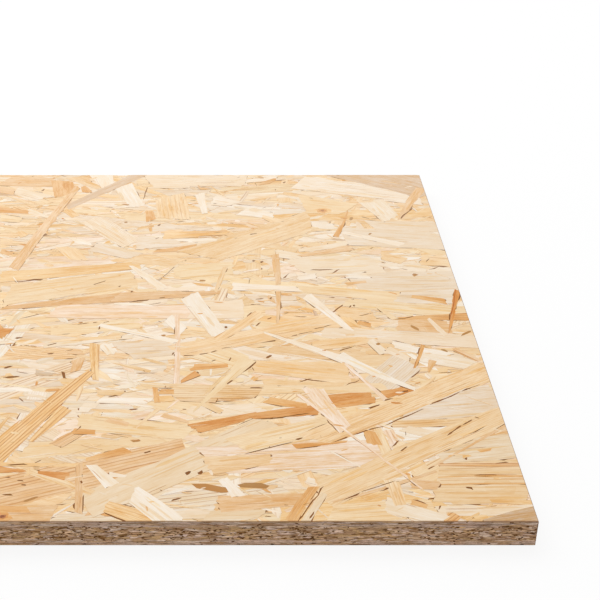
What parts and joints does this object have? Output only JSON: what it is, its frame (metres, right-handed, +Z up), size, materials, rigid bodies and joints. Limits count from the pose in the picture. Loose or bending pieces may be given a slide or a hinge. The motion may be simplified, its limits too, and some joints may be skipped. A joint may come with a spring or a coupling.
{
  "type": "osb board",
  "caption": "Flat rectangular panel of pressed wood strands with sawn square edges and a thin arris all round.",
  "frame": {"origin": "middle of the underside", "axes": "+X along the length and the strands of the faces, +Y across the width towards the back edge, +Z up through the thickness"},
  "size_m": [1, 0.5, 0.018],
  "materials": {
    "osb_face": "pressed pine strands, lightly sanded, matt to satin"
  },
  "bodies": {
    "root": {"board": "osb_face"}
  },
  "joints": []
}
